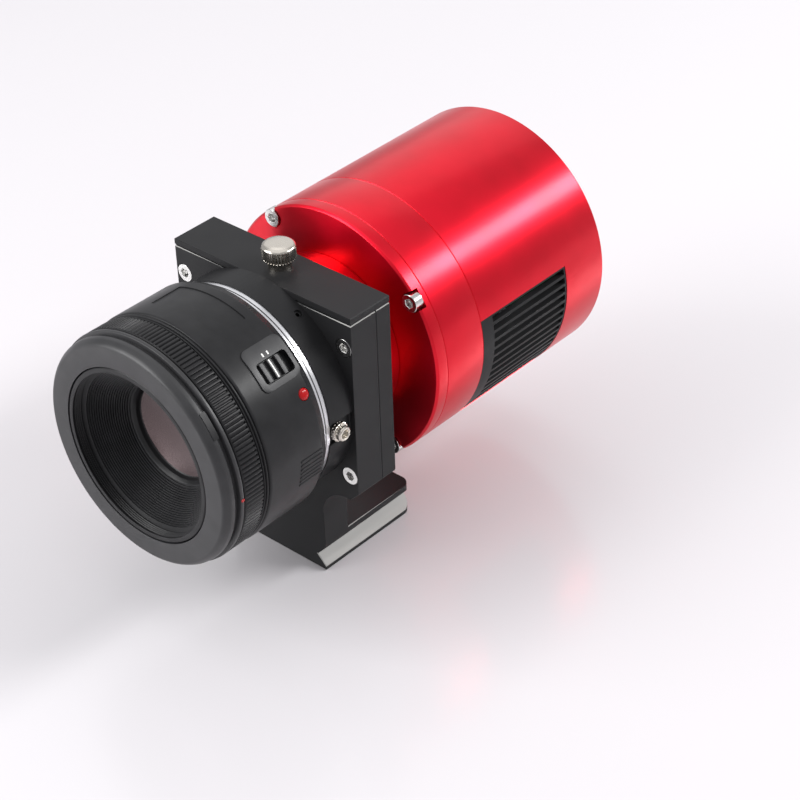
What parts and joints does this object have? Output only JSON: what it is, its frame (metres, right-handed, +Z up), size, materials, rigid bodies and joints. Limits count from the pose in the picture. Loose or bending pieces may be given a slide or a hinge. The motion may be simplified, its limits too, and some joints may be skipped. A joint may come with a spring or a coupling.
{
  "type": "cooled astronomy camera",
  "caption": "Cylindrical cooled astronomy camera with a wide fast lens on a filter drawer adapter, standing on a dovetail foot.",
  "frame": {"origin": "mouth of the tripod socket, in the middle of the underside of the dovetail foot", "axes": "+Z up, the lens looks along -Y, the camera head points back along +Y, +X is to the right as seen from in front of the lens looking back"},
  "size_m": [0.078, 0.1518, 0.0993],
  "materials": {
    "red_anodised": "satin red anodised aluminium",
    "black_anodised": "fine matte black anodised aluminium",
    "bare_aluminium": "machined aluminium",
    "lens_plastic": "satin black plastic",
    "black_plastic": "satin",
    "switch_plastic": "satin dark grey",
    "index_red": "glossy red",
    "mount_steel": "bright plated ring",
    "knob_nickel": "polished nickel",
    "screw_steel": "stainless",
    "black_steel": "black oxide",
    "spring_steel": "spring wire",
    "magnet_nickel": "nickel plated magnet",
    "copper": "copper",
    "ceramic": "white ceramic",
    "circuit": "green circuit board",
    "sensor": "sensor package",
    "rubber": "seal rubber",
    "clear_glass": "coated clear glass",
    "lens_glass": "coated optical glass",
    "usb_blue": "blue connector plastic",
    "blade_steel": "blackened steel"
  },
  "bodies": {
    "camera": {"adapter_body": "black_anodised", "adapter_rear_plate": "black_anodised", "adapter_screws": "screw_steel", "mount_ring": "mount_steel", "mount_ring_screws": "screw_steel", "lock_spring": "spring_steel", "boss_set_screws": "black_steel", "case_magnets": "magnet_nickel", "thread_spacer": "red_anodised", "front_plate": "red_anodised", "tilt_screws": "screw_steel", "sensor_housing": "red_anodised", "window_seal": "rubber", "sensor_window": "clear_glass", "image_sensor": "sensor", "sensor_board": "circuit", "cold_finger": "copper", "peltier_cooler": "ceramic", "heat_sink": "bare_aluminium", "main_housing": "red_anodised", "vent_grille_right": "black_anodised", "vent_grille_left": "black_anodised", "fan_frame": "black_plastic", "main_board": "circuit", "usb3_socket": "usb_blue", "usb2_sockets": "screw_steel", "power_socket": "black_plastic", "rear_cover": "red_anodised", "rear_cover_screws": "screw_steel", "fan_grille": "black_anodised", "desiccant_plug": "screw_steel", "lens_barrel": "lens_plastic", "lens_mount_plate": "mount_steel", "contact_block": "black_plastic", "front_bezel": "lens_plastic", "focus_motor": "screw_steel", "index_dot": "index_red"},
    "drawer": {"filter_drawer": "black_anodised", "drawer_magnets": "magnet_nickel", "drawer_knob": "knob_nickel", "filter_cell": "black_anodised", "filter_glass": "clear_glass"},
    "lens_lock": {"lock_pin": "screw_steel", "release_knob": "knob_nickel"},
    "fan": {"fan_rotor": "black_plastic"},
    "focus_ring": {"focus_ring": "lens_plastic"},
    "focus_group": {"inner_barrel": "lens_plastic", "front_element": "lens_glass", "rear_elements": "lens_glass", "retaining_ring": "lens_plastic", "iris_housing": "black_plastic"},
    "mode_switch": {"focus_mode_switch": "switch_plastic"},
    "iris_1": {"iris_blade_1": "blade_steel"},
    "iris_2": {"iris_blade_2": "blade_steel"},
    "iris_3": {"iris_blade_3": "blade_steel"},
    "iris_4": {"iris_blade_4": "blade_steel"},
    "iris_5": {"iris_blade_5": "blade_steel"},
    "iris_6": {"iris_blade_6": "blade_steel"},
    "iris_7": {"iris_blade_7": "blade_steel"}
  },
  "joints": [
    {"name": "drawer_slide", "type": "slide", "parent": "camera", "child": "drawer", "axis": [0, 0, 1], "range_m": [0, 0.06]},
    {"name": "lens_release", "type": "slide", "parent": "camera", "child": "lens_lock", "axis": [0, 1, 0], "range_m": [0, 0.0017], "stiffness_N_per_m": 300, "springref_m": -0.002, "deforming": ["lock_spring"]},
    {"name": "fan_spin", "type": "hinge", "parent": "camera", "child": "fan", "pos_m": [0, 0.0531, 0.0683], "axis": [0, 1, 0], "continuous": true},
    {"name": "focus_turn", "type": "hinge", "parent": "camera", "child": "focus_ring", "pos_m": [0, -0.0584, 0.0603], "axis": [0, 1, 0], "continuous": true},
    {"name": "focus_extend", "type": "slide", "parent": "camera", "child": "focus_group", "axis": [0, -1, 0], "range_m": [0, 0.0105]},
    {"name": "mode_switch_slide", "type": "slide", "parent": "camera", "child": "mode_switch", "axis": [0, 1, 0], "range_m": [0, 0.002]},
    {"name": "iris_pivot_1", "type": "hinge", "parent": "focus_group", "child": "iris_1", "pos_m": [0.0156, -0.0429, 0.0603], "axis": [0, -1, 0], "range_deg": [0, 26]},
    {"name": "iris_pivot_2", "type": "hinge", "parent": "focus_group", "child": "iris_2", "pos_m": [0.00973, -0.0429, 0.0725], "axis": [0, -1, 0], "range_deg": [0, 26]},
    {"name": "iris_pivot_3", "type": "hinge", "parent": "focus_group", "child": "iris_3", "pos_m": [-0.00347, -0.0429, 0.07551], "axis": [0, -1, 0], "range_deg": [0, 26]},
    {"name": "iris_pivot_4", "type": "hinge", "parent": "focus_group", "child": "iris_4", "pos_m": [-0.01405, -0.0429, 0.06707], "axis": [0, -1, 0], "range_deg": [0, 26]},
    {"name": "iris_pivot_5", "type": "hinge", "parent": "focus_group", "child": "iris_5", "pos_m": [-0.01405, -0.0429, 0.05353], "axis": [0, -1, 0], "range_deg": [0, 26]},
    {"name": "iris_pivot_6", "type": "hinge", "parent": "focus_group", "child": "iris_6", "pos_m": [-0.00347, -0.0429, 0.04509], "axis": [0, -1, 0], "range_deg": [0, 26]},
    {"name": "iris_pivot_7", "type": "hinge", "parent": "focus_group", "child": "iris_7", "pos_m": [0.00973, -0.0429, 0.0481], "axis": [0, -1, 0], "range_deg": [0, 26]}
  ],
  "couplings": [
    {"joint": "iris_pivot_2", "follows": "iris_pivot_1", "ratio": 1},
    {"joint": "iris_pivot_3", "follows": "iris_pivot_1", "ratio": 1},
    {"joint": "iris_pivot_4", "follows": "iris_pivot_1", "ratio": 1},
    {"joint": "iris_pivot_5", "follows": "iris_pivot_1", "ratio": 1},
    {"joint": "iris_pivot_6", "follows": "iris_pivot_1", "ratio": 1},
    {"joint": "iris_pivot_7", "follows": "iris_pivot_1", "ratio": 1}
  ]
}
